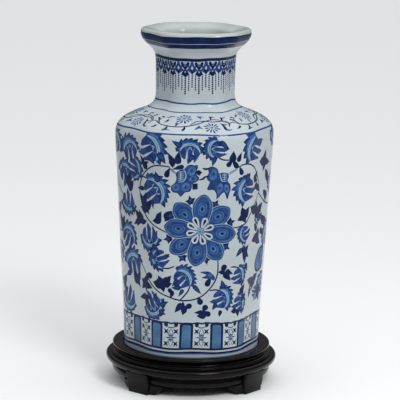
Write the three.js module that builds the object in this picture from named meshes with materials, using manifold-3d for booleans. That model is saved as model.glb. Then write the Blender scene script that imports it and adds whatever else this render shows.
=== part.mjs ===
// Porcelain vase of mallet form on a turned, lacquered hardwood stand.
// Units are millimetres, +Z is up. The origin is on the table, on the axis of the stand.
// The vase is one fired casting with a softly rounded hexagonal plan and one flat side
// facing -Y. It only rests in the round recess of the stand, so it lifts straight out.

import * as THREE from 'three';
import { mergeVertices } from 'three/addons/utils/BufferGeometryUtils.js';
import Module from 'manifold-3d';

const wasm = await Module();
wasm.setup();

// ---- driving dimensions --------------------------------------------------------------

const JOINT_GAP = 0.3; // clearance between pieces that touch

// stand, from the table up
const APRON_BOTTOM = 10.4; // lower edge of the turned apron between the feet
const APRON_TOP = 19.8;
const BASE_RING_TOP = 28.6;
const WAIST_TOP = 33;
const STAND_TOP = 39.2;
const RECESS_RADIUS = 68.6; // round recess that the vase stands in
const RIM_RADIUS = 79.1;
const TORUS_RADIUS = 85.8; // widest part of the stand
const TORUS_HEIGHT = 25.4; // where it is widest
const BASE_RING_BORE = 56;
const RING_SEGMENTS = 48;

// bracket feet on the diagonals
const FOOT_FACE = 81; // distance of a foot's flat outer face from the axis
const FOOT_HALF_WIDTH = 12;
const FOOT_WING = 24; // half width of the scrolled bracket under the apron
const FOOT_TOP = 21.2;
const FOOT_ANGLES = { front_left: 225, front_right: 315, back_right: 45, back_left: 135 };
const FOOT_DEPTH = 18;
const TENON_BACK = 67; // inner face of the block that is let into the base ring
const WING_RADIUS = 78.6; // the brackets follow the round apron here

// dowels that hold the feet
const DOWEL_RADIUS = 3;
const DOWEL_CENTRE = 72; // distance from the axis
const DOWEL_BOTTOM = 4;
const DOWEL_TOP = 25.6;

// vase
const VASE_BASE = STAND_TOP - 5.5; // the foot ring stands down in the recess
const PLAN_SIDES = 6;
const PLAN_ROUNDING = 0.56; // corner radius as a share of the half width
const VASE_SEGMENTS = 48;

// ---- materials -----------------------------------------------------------------------

const porcelain = new THREE.MeshStandardMaterial({
  color: 0xd5dcdf,
  roughness: 0.12,
  metalness: 0,
});
const lacqueredWood = new THREE.MeshStandardMaterial({
  color: 0x1d1512,
  roughness: 0.35,
  metalness: 0,
});
const bareWood = new THREE.MeshStandardMaterial({
  color: 0xb08a5c,
  roughness: 0.8,
  metalness: 0,
});

// ---- helpers -------------------------------------------------------------------------

// Only the position attribute, with shared vertices merged, so that the mesh is closed.
function weld(geometry) {
  const bare = geometry.clone();
  bare.deleteAttribute('normal');
  bare.deleteAttribute('uv');
  return mergeVertices(bare, 1e-4);
}

function toSolid(geometry) {
  const welded = weld(geometry);
  const vertProperties = new Float32Array(welded.attributes.position.array);
  const triVerts = new Uint32Array(welded.index.array);
  return new wasm.Manifold(new wasm.Mesh({ numProp: 3, vertProperties, triVerts }));
}

function toGeometry(solid) {
  const mesh = solid.getMesh();
  const geometry = new THREE.BufferGeometry();
  geometry.setAttribute('position', new THREE.BufferAttribute(mesh.vertProperties, 3));
  geometry.setIndex(new THREE.BufferAttribute(mesh.triVerts, 1));
  geometry.computeVertexNormals();
  return geometry;
}

function place(name, geometry, material) {
  const mesh = new THREE.Mesh(geometry, material);
  mesh.name = name;
  return mesh;
}

// A turned solid from [radius, height] pairs, listed counter-clockwise in the half plane.
function turned(profile, segments) {
  const points = profile.map(([radius, height]) => new THREE.Vector2(radius, height));
  const geometry = new THREE.LatheGeometry(points, segments);
  geometry.rotateX(Math.PI / 2);
  return geometry;
}

function closedProfile(profile) {
  return [...profile, profile[0]];
}

// Points of an arc in the [radius, height] plane, angles in degrees.
function arc(centreRadius, centreHeight, radius, from, to, steps) {
  return Array.from({ length: steps + 1 }, (_, i) => {
    const angle = THREE.MathUtils.degToRad(from + ((to - from) * i) / steps);
    return [
      centreRadius + radius * Math.cos(angle),
      centreHeight + radius * Math.sin(angle),
    ];
  });
}

// A prism of an outline in the x-z plane, from y = near to y = far.
function prism(outline, near, far) {
  const shape = new THREE.Shape(outline.map(([x, z]) => new THREE.Vector2(x, z)));
  const geometry = new THREE.ExtrudeGeometry(shape, {
    depth: far - near,
    bevelEnabled: false,
  });
  geometry.rotateX(Math.PI / 2);
  geometry.translate(0, far, 0);
  return geometry;
}

// ---- vase ----------------------------------------------------------------------------

// Distance from the axis to the plan outline, for a half width of 1 across the corners:
// a hexagon whose sides are offset outwards by the rounding. Its corners lie on +X and -X.
function planRadius(angle) {
  const sector = (2 * Math.PI) / PLAN_SIDES;
  const fromSide = angle - sector / 2 - sector * Math.round(angle / sector - 0.5);
  const core = 1 - PLAN_ROUNDING;
  const apothem = core * Math.cos(sector / 2) + PLAN_ROUNDING;
  const flatHalf = core * Math.sin(sector / 2);
  if (Math.abs(apothem * Math.tan(fromSide)) <= flatHalf) {
    return apothem / Math.cos(fromSide);
  }
  const fromCorner = sector / 2 - Math.abs(fromSide);
  const across = core * Math.sin(fromCorner);
  return core * Math.cos(fromCorner) + Math.sqrt(PLAN_ROUNDING ** 2 - across ** 2);
}

function hexagonal(geometry) {
  const position = geometry.attributes.position;
  for (let i = 0; i < position.count; i += 1) {
    const x = position.getX(i);
    const y = position.getY(i);
    const scale = planRadius(Math.atan2(y, x));
    position.setX(i, x * scale);
    position.setY(i, y * scale);
  }
  geometry.computeVertexNormals();
  return geometry;
}

// [half width, height] of the casting: under the foot, up the outside, over the lip and
// down the inside. Inside the lip the mouth is dished, then the bore of the neck begins.
const vaseProfile = [
  [0, VASE_BASE + 3],
  [54.5, VASE_BASE + 3],
  [57, VASE_BASE],
  [66.4, VASE_BASE],
  [67.5, VASE_BASE + 1.2],
  [68.4, 58.5],
  [70.3, 99.6],
  [72.9, 140.7],
  [75, 181.8],
  [77.1, 217.7],
  [78.5, 238.3],
  [78.9, 253.7],
  [77.9, 258.8],
  [75.5, 263.9],
  [68.7, 269.1],
  [57.3, 274.2],
  [44.7, 279.3],
  [40.5, 284.5],
  [39, 289.6],
  [39.3, 310.2],
  [39.8, 327.6],
  [40.4, 330.7],
  [43.9, 335.8],
  [49.8, 341],
  [53.7, 346.5],
  [54.9, 351.5],
  [54, 354.6],
  [51.5, 355.9],
  [47, 355.3],
  [42, 354],
  [38.2, 352.3],
  [36.1, 350],
  [35.1, 346],
  [34.6, 335],
  [34.3, 310],
  [34.3, 289],
  [36.3, 282.5],
  [42, 277],
  [55.2, 270],
  [65.2, 265],
  [71.6, 259.5],
  [73.8, 252.5],
  [72.5, 226],
  [70, 181.8],
  [67.8, 140.7],
  [65.3, 99.6],
  [63.4, 60],
  [61, 48],
  [55.5, 43],
  [0, 42],
];

function makeVase() {
  const outline = turned(vaseProfile, VASE_SEGMENTS);
  return place('vase_body', weld(hexagonal(outline)), porcelain);
}

// ---- stand ---------------------------------------------------------------------------

function makeRimRing() {
  const bottom = WAIST_TOP + JOINT_GAP;
  const profile = [
    [RECESS_RADIUS, bottom],
    [74.8, bottom],
    [75.2, 35],
    [76.8, 36.2],
    [RIM_RADIUS, 36.9],
    [RIM_RADIUS, 38.3],
    [78.2, STAND_TOP],
    [RECESS_RADIUS, STAND_TOP],
  ];
  return turned(closedProfile(profile), RING_SEGMENTS);
}

function makeWaistRing() {
  const bottom = BASE_RING_TOP + JOINT_GAP;
  const profile = [
    [RECESS_RADIUS, bottom],
    [80.4, bottom],
    [80.4, 30],
    [78.4, 30.3],
    [78.4, 31.3],
    [75.6, 31.7],
    [74.8, WAIST_TOP],
    [RECESS_RADIUS, WAIST_TOP],
  ];
  return turned(closedProfile(profile), RING_SEGMENTS);
}

function makeSeatDisc() {
  const radius = RECESS_RADIUS - JOINT_GAP;
  const bottom = BASE_RING_TOP + JOINT_GAP;
  const top = VASE_BASE - JOINT_GAP;
  const profile = [
    [0, bottom],
    [radius, bottom],
    [radius, top],
    [0, top],
  ];
  return turned(profile, RING_SEGMENTS);
}

// The torus, the groove under it and the rounded apron are turned from one ring. The
// torus is widest above its middle, so its lower quarter has the larger radius.
function makeBaseRingBlank() {
  const torusUpper = BASE_RING_TOP - TORUS_HEIGHT;
  const torusLower = TORUS_HEIGHT - APRON_TOP;
  const profile = [
    [BASE_RING_BORE, APRON_BOTTOM],
    [77.4, APRON_BOTTOM],
    [78.9, 11.4],
    [79.5, 13.2],
    [79.4, 15.4],
    [78.6, 17.4],
    [77.9, 18.4],
    [78.3, 19.3],
    [79.8, 19.8],
    ...arc(TORUS_RADIUS - torusLower, TORUS_HEIGHT, torusLower, -75, 0, 5),
    ...arc(TORUS_RADIUS - torusUpper, TORUS_HEIGHT, torusUpper, 15, 90, 4),
    [BASE_RING_BORE, BASE_RING_TOP],
  ];
  return turned(closedProfile(profile), RING_SEGMENTS);
}

// One foot, drawn facing +Y and grown by the clearance: a block with a flat outer face
// that flares up into the torus, and two scrolled brackets under the apron beside it.
function footSolid(clearance) {
  const face = FOOT_FACE + clearance;
  const half = FOOT_HALF_WIDTH + clearance;
  const top = FOOT_TOP + clearance;
  const shoulder = APRON_BOTTOM - JOINT_GAP;
  const elevation = [
    [-half, 0],
    [half, 0],
    [half + 1.5, shoulder],
    [half + 1.5, top],
    [-half - 1.5, top],
    [-half - 1.5, shoulder],
  ];
  const back = face - FOOT_DEPTH;
  const tenonBack = TENON_BACK - clearance;
  const sideProfile = [
    [back, 0],
    [face, 0],
    [face + 0.1, 5],
    [face + 0.5, 10],
    [face + 1.3, 14],
    [face + 2.3, 17.6],
    [face + 3.2, top],
    [tenonBack, top],
    [tenonBack, shoulder],
    [back, shoulder],
  ];
  const wingOutline = [
    [-half, 0],
    [half, 0],
    [half + 4, 0.7],
    [half + 7.5, 2.4],
    [half + 10, 5],
    [half + 11.4, 7.6],
    [FOOT_WING, shoulder],
    [-FOOT_WING, shoulder],
    [-half - 11.4, 7.6],
    [-half - 10, 5],
    [-half - 7.5, 2.4],
    [-half - 4, 0.7],
  ];
  const front = toSolid(prism(elevation, back - 2, face + 10));
  const side = prism(sideProfile, -half - 5, half + 5);
  side.rotateZ(Math.PI / 2);
  const block = front.intersect(toSolid(side));
  const round = turned(
    [[0, -1], [WING_RADIUS, -1], [WING_RADIUS, top], [0, top]],
    RING_SEGMENTS,
  );
  const wings = toSolid(prism(wingOutline, back, face)).intersect(toSolid(round));
  return block.add(wings);
}

function dowelGeometry(clearance) {
  const radius = DOWEL_RADIUS + clearance;
  const length = DOWEL_TOP - DOWEL_BOTTOM + 2 * clearance;
  const geometry = new THREE.CylinderGeometry(radius, radius, length, 12);
  geometry.rotateX(Math.PI / 2);
  geometry.translate(0, DOWEL_CENTRE, (DOWEL_BOTTOM + DOWEL_TOP) / 2);
  return geometry;
}

// Feet and dowels are drawn facing +Y; this turns them to a compass angle from +X.
function turnTo(angle) {
  return angle - 90;
}

function makeStand() {
  const stand = new THREE.Group();
  const foot = footSolid(0).subtract(toSolid(dowelGeometry(JOINT_GAP)));
  const notch = footSolid(JOINT_GAP).add(toSolid(dowelGeometry(JOINT_GAP)));
  let baseRing = toSolid(makeBaseRingBlank());
  for (const [corner, angle] of Object.entries(FOOT_ANGLES)) {
    const turn = turnTo(angle);
    baseRing = baseRing.subtract(notch.rotate([0, 0, turn]));
    const radians = THREE.MathUtils.degToRad(turn);
    const footMesh = place(`foot_${corner}`, toGeometry(foot), lacqueredWood);
    footMesh.rotation.z = radians;
    const dowelMesh = place(`foot_dowel_${corner}`, dowelGeometry(0), bareWood);
    dowelMesh.rotation.z = radians;
    stand.add(footMesh, dowelMesh);
  }
  stand.add(
    place('stand_base_ring', toGeometry(baseRing), lacqueredWood),
    place('stand_waist_ring', makeWaistRing(), lacqueredWood),
    place('stand_seat_disc', makeSeatDisc(), lacqueredWood),
    place('stand_rim_ring', makeRimRing(), lacqueredWood),
  );
  return stand;
}

const vaseOnStand = new THREE.Group();
vaseOnStand.add(makeStand(), makeVase());

export default vaseOnStand;
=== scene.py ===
"""A blue and white porcelain vase of mallet form on a turned, lacquered wooden stand."""
import math
import random

import bmesh
import bpy
import numpy as np
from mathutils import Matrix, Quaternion, Vector
from mathutils.geometry import delaunay_2d_cdt


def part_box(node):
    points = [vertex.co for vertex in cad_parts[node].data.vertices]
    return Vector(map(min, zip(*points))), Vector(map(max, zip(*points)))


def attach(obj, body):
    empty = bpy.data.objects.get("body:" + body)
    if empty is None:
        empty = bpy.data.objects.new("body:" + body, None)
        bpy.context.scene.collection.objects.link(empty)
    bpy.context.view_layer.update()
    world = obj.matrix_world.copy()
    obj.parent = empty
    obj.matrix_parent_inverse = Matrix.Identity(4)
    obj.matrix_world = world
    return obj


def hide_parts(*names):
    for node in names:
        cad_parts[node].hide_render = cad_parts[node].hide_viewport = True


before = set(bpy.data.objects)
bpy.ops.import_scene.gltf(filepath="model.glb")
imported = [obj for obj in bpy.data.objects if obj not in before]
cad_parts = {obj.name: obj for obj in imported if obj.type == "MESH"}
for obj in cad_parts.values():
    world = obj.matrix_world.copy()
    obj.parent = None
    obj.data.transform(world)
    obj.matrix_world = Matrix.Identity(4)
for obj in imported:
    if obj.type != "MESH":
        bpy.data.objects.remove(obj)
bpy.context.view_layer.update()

MM = 0.001  # the script draws in millimetres, and Blender's unit is the metre

# ---- the vase's form: a profile turned round a softly rounded hexagon ----------------

SIDES = 6
ROUNDING = 0.56  # corner radius as a share of the half width
CORE = 1 - ROUNDING  # side of the hexagon that the rounding is drawn round
PERIMETER = SIDES * CORE + 2 * math.pi * ROUNDING  # of the plan with half width 1
COLUMNS = 252  # divides by 2, 14 and 18, the repeats of the painted patterns

FOOT_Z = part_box("vase_body")[0].z / MM
MOUTH_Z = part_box("vase_body")[1].z / MM

# (half width, height) from the centre of the underside, up the outside, over the lip and
# down the inside to the centre of the floor
PROFILE = [
    (0, FOOT_Z + 3), (30, FOOT_Z + 3), (50, FOOT_Z + 3), (54.4, FOOT_Z + 2.6),
    (56.2, FOOT_Z + 1.2), (57.2, FOOT_Z + 0.2), (58.6, FOOT_Z), (62, FOOT_Z),
    (65.4, FOOT_Z), (66.9, FOOT_Z + 0.5), (67.5, FOOT_Z + 1.8), (67.7, FOOT_Z + 5),
    (68.4, 58.5), (70.3, 99.6), (72.9, 140.7), (75, 181.8), (77.1, 217.7), (78.4, 238.3),
    (78.8, 250), (78.5, 256), (76.9, 260.6), (73.4, 265), (67.6, 269.2), (57.3, 274),
    (49, 277), (44.2, 279.7), (40.9, 283.6), (39.4, 288.6), (39.2, 297), (39.4, 312),
    (39.8, 325), (40.6, 330.6), (43.9, 336), (49.4, 341.2), (53.2, 345.8), (54.8, 350.2),
    (54.6, 353.2), (53.4, 355.2), (51.4, MOUTH_Z), (47, 355.3), (42, 354), (38.6, 352.5),
    (36.8, 351), (35.7, 348.6), (35.1, 345), (34.7, 335), (34.4, 322), (34.3, 305),
    (34.4, 292), (35.6, 284.5), (39, 279), (46, 274.6), (56, 269.6), (65.2, 265),
    (70.6, 260.4), (73.4, 254), (73.6, 245), (72.5, 226), (70, 181.8), (67.8, 140.7),
    (65.3, 99.6), (63.6, 65), (62.4, 52), (59, 45.6), (53, 43), (40, 42.3), (0, 42),
]


def spline(points, step):
    """Points of a centripetal Catmull-Rom curve through the given points."""
    p = [np.array(q, float) for q in points]
    p = [2 * p[0] - p[1]] + p + [2 * p[-1] - p[-2]]
    out = []
    for a, b, c, d in zip(p, p[1:], p[2:], p[3:]):
        knots = [0.0]
        for q, r in ((a, b), (b, c), (c, d)):
            knots.append(knots[-1] + max(np.linalg.norm(r - q), 1e-9) ** 0.5)
        t0, t1, t2, t3 = knots
        count = max(1, int(round(np.linalg.norm(c - b) / step)))
        for t in np.linspace(t1, t2, count, endpoint=False):
            a1 = ((t1 - t) * a + (t - t0) * b) / (t1 - t0)
            a2 = ((t2 - t) * b + (t - t1) * c) / (t2 - t1)
            a3 = ((t3 - t) * c + (t - t2) * d) / (t3 - t2)
            b1 = ((t2 - t) * a1 + (t - t0) * a2) / (t2 - t0)
            b2 = ((t3 - t) * a2 + (t - t1) * a3) / (t3 - t1)
            out.append(((t2 - t) * b1 + (t - t1) * b2) / (t2 - t1))
    out.append(p[-2])
    return np.array(out)


OUTLINE = spline(PROFILE, 0.4)
OUTLINE[:, 0] = np.maximum(OUTLINE[:, 0], 0)
ALONG = np.concatenate([[0], np.cumsum(np.linalg.norm(np.diff(OUTLINE, axis=0), axis=1))])
SLOPE = np.gradient(OUTLINE, ALONG, axis=0)
CREST = int(np.argmax(OUTLINE[:, 1]))
BASE_POINT = int(np.argmax((OUTLINE[:, 0] > 67) & (OUTLINE[:, 1] > FOOT_Z + 1)))


def along(z):
    """Distance along the outer profile at a height on the outside."""
    return float(np.interp(z, OUTLINE[BASE_POINT:CREST, 1], ALONG[BASE_POINT:CREST]))


def plan(turn):
    """Plan outline of half width 1 and its tangent. Turn 0 is the front, and +X is next."""
    sector = np.floor(np.asarray(turn) * SIDES + 0.5)
    run = (turn * SIDES - sector) * PERIMETER / SIDES
    facing = math.radians(-90) + sector * math.radians(360 / SIDES)
    over = np.maximum(np.abs(run) - CORE / 2, 0) * np.sign(run)
    bend = over / ROUNDING
    out = CORE * math.cos(math.pi / SIDES) + ROUNDING * np.cos(bend)
    side = run - over + ROUNDING * np.sin(bend)
    heading = facing + bend
    x = out * np.cos(facing) - side * np.sin(facing)
    y = out * np.sin(facing) + side * np.cos(facing)
    return x, y, -np.sin(heading), np.cos(heading)


def surface(turn, s):
    """Positions in millimetres and normals of the vase's skin."""
    turn, s = np.asarray(turn, float), np.asarray(s, float)
    radius = np.interp(s, ALONG, OUTLINE[:, 0])
    height = np.interp(s, ALONG, OUTLINE[:, 1])
    rise_r = np.interp(s, ALONG, SLOPE[:, 0])
    rise_z = np.interp(s, ALONG, SLOPE[:, 1])
    x, y, tx, ty = plan(turn)
    place = np.stack([radius * x, radius * y, height], -1)
    across = np.stack([tx, ty, np.zeros_like(tx)], -1)
    up = np.stack([rise_r * x, rise_r * y, rise_z + 0 * x], -1)
    normal = np.cross(across, up)
    size = np.linalg.norm(normal, axis=-1, keepdims=True)
    flat = np.stack([0 * x, 0 * x, np.sign(s - ALONG[CREST])], -1)
    normal = np.where(size > 1e-6, normal / np.maximum(size, 1e-6), flat)
    return place, normal


# ---- shading -------------------------------------------------------------------------


def new_material(name):
    """A material with an empty tree but for its Principled shader."""
    material = bpy.data.materials.new(name)
    material.use_nodes = True
    return material, material.node_tree, material.node_tree.nodes["Principled BSDF"]


def noise_node(tree, scale, detail=3.0, stretch=(1, 1, 1)):
    """Fac output of a noise in object space, stretched along the axes."""
    coords = tree.nodes.new("ShaderNodeTexCoord")
    mapping = tree.nodes.new("ShaderNodeMapping")
    mapping.inputs["Scale"].default_value = stretch
    tree.links.new(coords.outputs["Object"], mapping.inputs["Vector"])
    texture = tree.nodes.new("ShaderNodeTexNoise")
    texture.inputs["Scale"].default_value = scale
    texture.inputs["Detail"].default_value = detail
    tree.links.new(mapping.outputs["Vector"], texture.inputs["Vector"])
    return texture.outputs["Fac"]


def ramp_node(tree, factor, stops):
    """Colour output of a ramp over the factor, from (position, colour) stops."""
    ramp = tree.nodes.new("ShaderNodeValToRGB")
    elements = ramp.color_ramp.elements
    while len(elements) < len(stops):
        elements.new(0.5)
    for element, (position, colour) in zip(elements, stops):
        element.position = position
        element.color = (*colour, 1)
    tree.links.new(factor, ramp.inputs["Fac"])
    return ramp.outputs["Color"]


def rough_between(tree, shader, factor, low, high, last=0.7):
    """Lets the shader's roughness drift between two values with the factor."""
    gloss = ramp_node(tree, factor, [(0.3, (low,) * 3), (last, (high,) * 3)])
    tree.links.new(gloss, shader.inputs["Roughness"])


def bump_node(tree, shader, height, distance, strength):
    """Feeds a height into the shader's normal."""
    bump = tree.nodes.new("ShaderNodeBump")
    bump.inputs["Distance"].default_value = distance
    bump.inputs["Strength"].default_value = strength
    tree.links.new(height, bump.inputs["Height"])
    tree.links.new(bump.outputs["Normal"], shader.inputs["Normal"])


def glazed(name, dark, light, scale, shine=0.22):
    """Glazed porcelain whose colour under the glaze drifts between two tones."""
    material, tree, shader = new_material(name)
    tone = ramp_node(tree, noise_node(tree, scale, 4.0), [(0.35, dark), (0.65, light)])
    tree.links.new(tone, shader.inputs["Base Color"])
    rough_between(tree, shader, noise_node(tree, 60), 0.07, 0.13)
    shader.inputs["Specular IOR Level"].default_value = shine
    bump_node(tree, shader, noise_node(tree, 45, 2.0), 0.0006, 0.12)
    return material


def make_paints():
    """The ground and the washes of cobalt, in the order of the paint numbers."""
    return [
        glazed("glaze_ground", (0.475, 0.545, 0.58), (0.55, 0.62, 0.655), 14),
        glazed("cobalt_faint", (0.24, 0.39, 0.52), (0.36, 0.51, 0.62), 90),
        glazed("cobalt_mid", (0.03, 0.105, 0.29), (0.075, 0.19, 0.41), 150),
        glazed("cobalt_wash", (0.035, 0.115, 0.255), (0.075, 0.185, 0.34), 60),
        glazed("cobalt_deep", (0.008, 0.034, 0.155), (0.022, 0.075, 0.26), 190, 0.18),
        glazed("cobalt_navy", (0.0025, 0.008, 0.05), (0.005, 0.017, 0.095), 140, 0.14),
        biscuit(),
        glazed("glaze_inside", (0.43, 0.465, 0.465), (0.50, 0.535, 0.53), 20),
    ]


def biscuit():
    """The bare, matt clay of the unglazed foot ring."""
    material, tree, shader = new_material("biscuit_foot")
    tone = ramp_node(
        tree, noise_node(tree, 300, 6), [(0.3, (0.5, 0.46, 0.4)), (0.7, (0.66, 0.62, 0.55))]
    )
    tree.links.new(tone, shader.inputs["Base Color"])
    shader.inputs["Roughness"].default_value = 0.75
    bump_node(tree, shader, noise_node(tree, 1500, 4), 0.0002, 0.4)
    return material


# the paint numbers; the first is the glaze that everything is painted on
GROUND, FAINT, MIDDLE, WASH, DEEP, NAVY, BISCUIT, INSIDE = range(8)


# ---- painting: closed outlines in the flat, laid over each other ---------------------
# All of it is in millimetres on the skin: across from the middle of a tile, and up.


def smooth(points, step=0.9, closed=True):
    """A rounded outline through a few points."""
    if not closed:
        return spline(points, step)
    ring = [*points, *points[:3]]
    curve = spline([points[-1], *ring], step)
    first = np.argmin(np.linalg.norm(curve - np.array(points[0], float), axis=1))
    again = np.linalg.norm(curve[first + 3:] - np.array(points[0], float), axis=1)
    return curve[first:first + 3 + int(np.argmin(again))]


def moved(points, u=0.0, v=0.0, size=1.0, turn=0.0):
    """Points scaled, turned by degrees and moved."""
    p = np.array(points, float) * size
    c, s = math.cos(math.radians(turn)), math.sin(math.radians(turn))
    return p @ np.array([[c, s], [-s, c]]) + [u, v]


def polar(centre, radius, angle):
    """The point at a distance and an angle in degrees from a centre."""
    a = math.radians(angle)
    return (centre[0] + radius * math.cos(a), centre[1] + radius * math.sin(a))


def between(first, last, share):
    """A point on the line through two points, at a share of the way."""
    return np.array(first) * (1 - share) + np.array(last) * share


FLAME_LOBES = 3


class Art:
    """Painted outlines, first at the bottom, each with its paint number."""

    def __init__(self):
        self.layers = []

    def add(self, paint, points):
        """An outline with straight sides."""
        self.layers.append((paint, np.array(points, float)))

    def merge(self, other, right=0, up=0):
        """All of another drawing's outlines, moved."""
        for paint, points in other.layers:
            self.add(paint, points + [right, up])

    def blob(self, paint, points, step=0.9):
        """A rounded outline through the points."""
        self.add(paint, smooth(points, step))

    def stroke(self, paint, path, width, taper=0.6, step=1.2):
        """A brush line along a rounded path, thinner at its ends."""
        line = smooth(path, step, closed=False)
        t = np.linspace(0, 1, len(line))
        half = width / 2 * (1 - taper * np.abs(2 * t - 1) ** 3)
        direction = np.gradient(line, axis=0)
        direction /= np.linalg.norm(direction, axis=1, keepdims=True)
        side = np.stack([-direction[:, 1], direction[:, 0]], -1) * half[:, None]
        self.add(paint, np.concatenate([line + side, (line - side)[::-1]]))

    def drop(self, paint, tip, head, width, bend=0.0):
        """A brushed drop: a point at the tip that swells to a round head."""
        tip, head = np.array(tip, float), np.array(head, float)
        axis = head - tip
        length = np.linalg.norm(axis)
        axis /= length
        side = np.array([-axis[1], axis[0]])
        r = width / 2
        t = np.linspace(0, 1, 7)[1:]
        half = r * np.sin(t * math.pi / 2) ** 1.2
        middle = tip + np.outer(t * length, axis)
        middle += np.outer(bend * np.sin(t * math.pi), side)
        left, right = middle + np.outer(half, side), middle - np.outer(half, side)
        cap = []
        for a in np.radians([60, 30, 0, -30, -60]):
            cap.append(middle[-1] + r * (math.sin(a) * side + math.cos(a) * axis))
        self.add(paint, np.concatenate([[tip], left, cap, right[::-1]]))

    def disc(self, paint, u, v, r, ratio=1.0, turn=0.0, sides=12):
        """A dot, or an oval where the ratio of its two widths isn't 1."""
        angles = np.linspace(0, 2 * math.pi, sides, endpoint=False)
        ring = np.stack([r * np.cos(angles), r * ratio * np.sin(angles)], -1)
        self.add(paint, moved(ring, u, v, turn=turn))

    def flame(self, centre, radius, start, end, reach, teeth):
        """A curled serrated leaf: teeth outside a pale rib, ragged lobes inside it.

        The rib is an arc of the radius between two angles, the teeth lean towards its
        end, and reach is the length of the longest of them."""
        self.flame_teeth(centre, radius, start, (end - start) / teeth, reach, teeth)
        self.flame_lobes(centre, radius, start, end)
        near = start + (end - start) * 0.03
        rib = [polar(centre, radius, a) for a in np.linspace(near, end, 9)]
        self.stroke(FAINT, rib, radius * 0.2 + 0.4, 0.92, 2.0)
        self.stroke(DEEP, rib[1:-1], 0.45, 0.9, 2.6)

    def flame_teeth(self, centre, radius, start, step, reach, teeth):
        """The teeth round the outside, one to each step of the angle."""
        for paint, grow in ((NAVY, 0.0), (DEEP, 0.9), (MIDDLE, 2.6)):
            outer = []
            for k in range(teeth):
                share = (k + 0.5) / teeth
                swell = 0.6 + 0.4 * math.sin(math.pi * min(1, share * 1.15))
                tip = radius + reach * swell * (1 + 0.14 * math.sin(5 * k + radius)) - grow * 1.7
                low = radius + reach * swell * 0.66 - grow
                outer.append(polar(centre, low, start + step * k))
                outer.append(polar(centre, (low + tip) / 2, start + step * (k + 0.36)))
                outer.append(polar(centre, max(tip, low), start + step * (k + 0.86)))
                outer.append(polar(centre, low + 0.2, start + step * (k + 0.96)))
            back = np.linspace(start + step * teeth, start, 9)
            self.add(paint, outer + [polar(centre, radius - 0.2, a) for a in back])

    def flame_lobes(self, centre, radius, start, end):
        """The ragged lobes that hang inside the rib, with a pale vein between two."""
        across = np.array(polar((0, 0), 1, (start + end) / 2))
        first = np.array(polar(centre, radius * 0.98, start))
        last = np.array(polar(centre, radius * 0.98, end))
        for paint, grow in ((NAVY, 0.0), (DEEP, 0.8)):
            ragged = []
            for k in range(FLAME_LOBES):
                for share, out in ((0.06, 0.7), (0.4, 1.0), (0.8, 1.25), (0.96, 0.75)):
                    t = (k + share) / FLAME_LOBES
                    swell = math.sin(math.pi * min(t, 0.97)) ** 0.6
                    here = last + (first - last) * t
                    ragged.append(here - across * (out * radius * swell - grow))
            rim = np.linspace(start, end, 11)
            self.add(paint, [polar(centre, radius - grow * 0.3, a) for a in rim] + ragged)
        for k in range(1, FLAME_LOBES):
            t = k / FLAME_LOBES
            root = last + (first - last) * t
            a = end + (start - end) * (0.2 + 0.6 * t)
            rim_point = np.array(polar(centre, radius * 0.8, a))
            far = root + (rim_point - root) * 0.62
            self.drop(GROUND, far, root - across * radius * 0.62, radius * 0.17)
            for lean in (-16, 16):
                side = np.array(polar(centre, radius * 0.78, a + lean))
                self.stroke(FAINT, [root + (side - root) * 0.4, side], radius * 0.09, 0.8, 2.4)


def lotus(art, u, v):
    """The open flower: eight petals over dark sepals, and a rosette of white loops."""
    lotus_sepals(art, u, v)
    under = [(28.0, 23.5), (21.0, -27.5), (-29.0, -20.5), (-24.0, 28.5)]
    over = [(3.5, 36.5), (36.0, -3.5), (-4.5, -34.0), (-35.0, 5.5)]
    for right, up in under + over:
        lotus_petal(art, u, v, math.hypot(right, up), math.degrees(math.atan2(up, right)))
    lotus_heart(art, u, v)


def lotus_sepals(art, u, v):
    """The dark stars whose points show between the petals."""
    sepals = [(-9.5, 31.5), (14.5, 27), (30.5, 9), (25.5, -15.5), (6.5, -28), (-17.5, -26),
              (-31.5, -7), (-28.5, 16)]
    for su, sv in sepals:
        star_points = []
        facing = math.degrees(math.atan2(sv, su))
        for k, r in enumerate((5.6, 3.0, 5.6, 3.0, 6.2, 3.0, 5.6, 3.0, 5.6, 3.0)):
            star_points.append(polar((u + su * 0.97, v + sv * 0.97), r, facing - 144 + 36 * k))
        art.add(NAVY, star_points)
        art.disc(DEEP, u + su, v + sv, 1.6)


def lotus_petal(art, u, v, length, facing):
    """One petal, outlined twice, with an eye and a row of dots towards its tip."""
    form = [(0.12, 4.2), (0.38, 7.2), (0.62, 8.9), (0.8, 7.9), (0.93, 4.6)]
    for paint, grow in ((FAINT, 1.0), (NAVY, 0.3), (MIDDLE, -0.6), (DEEP, -1.5)):
        side = [(t * length, w + grow) for t, w in form]
        tail = grow if paint != FAINT else 0.3
        ring = side + [(length + tail, 0)] + [(a, -b) for a, b in side[::-1]]
        if paint == DEEP:
            ring = [(a * 0.98, b * 0.93) for a, b in ring]
        art.blob(paint, moved(ring, u, v, turn=facing), 1.3)
    for paint, r in ((MIDDLE, 5.2), (DEEP, 4.4), (MIDDLE, 3.3), (NAVY, 1.5)):
        at = polar((u, v), length * 0.61, facing)
        art.disc(paint, at[0], at[1], r * 1.25, 0.72, facing, 14)
    for k in range(5):
        at = polar((u, v), length * 0.86, facing + (k - 2) * 4.5)
        art.disc(MIDDLE, at[0], at[1], 0.55, 1, 0, 6)


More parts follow.
